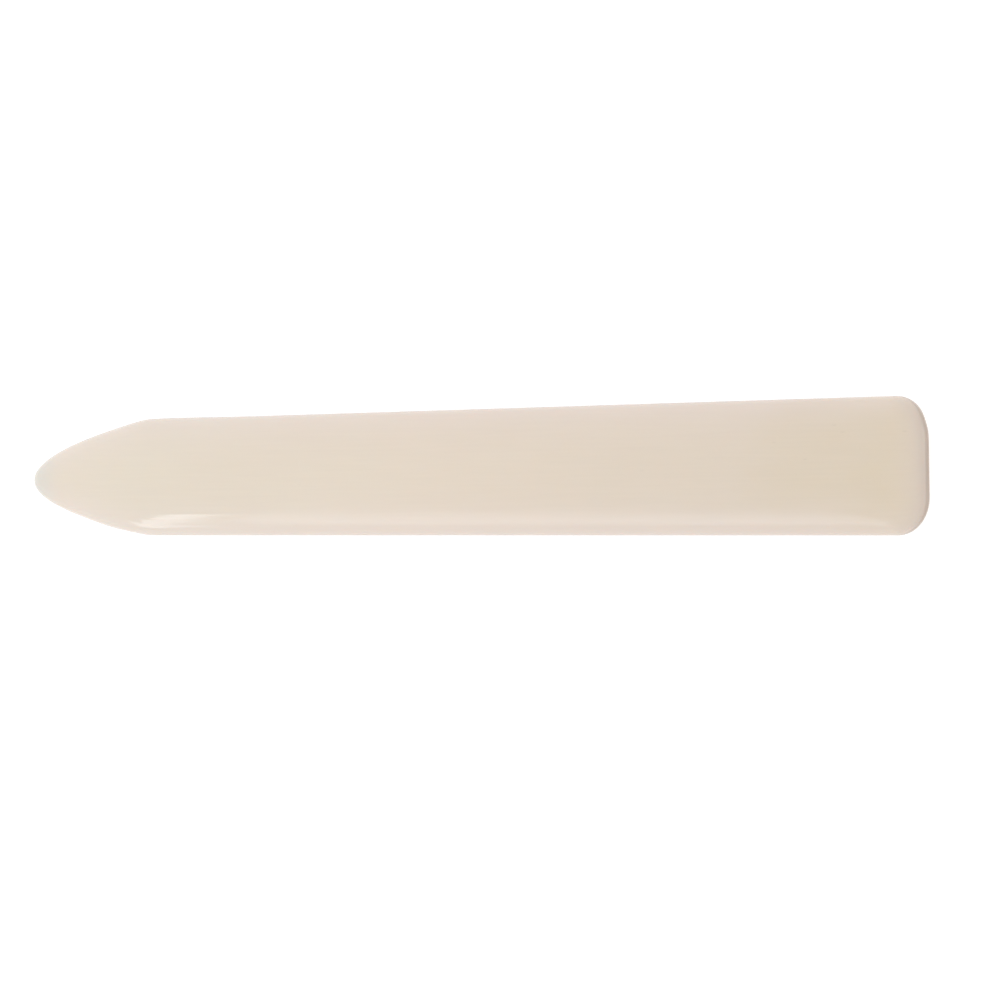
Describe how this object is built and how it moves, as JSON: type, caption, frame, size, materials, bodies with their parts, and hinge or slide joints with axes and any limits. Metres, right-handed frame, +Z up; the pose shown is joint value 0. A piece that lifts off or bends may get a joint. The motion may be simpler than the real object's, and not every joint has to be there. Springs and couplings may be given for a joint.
{
  "type": "bone folder",
  "caption": "Flat polished bone blade with a leaf-shaped point and a square heel with rounded corners, for creasing, scoring and smoothing paper.",
  "frame": {"origin": "on the plane the folder lies on, below the middle of its length and width", "axes": "+X along the folder from its point to its heel, +Y across its width, +Z up from the lower flat face to the upper one"},
  "size_m": [0.205, 0.024, 0.0034],
  "materials": {
    "polished_bone": "polished"
  },
  "bodies": {
    "root": {"folder_body": "polished_bone"}
  },
  "joints": []
}
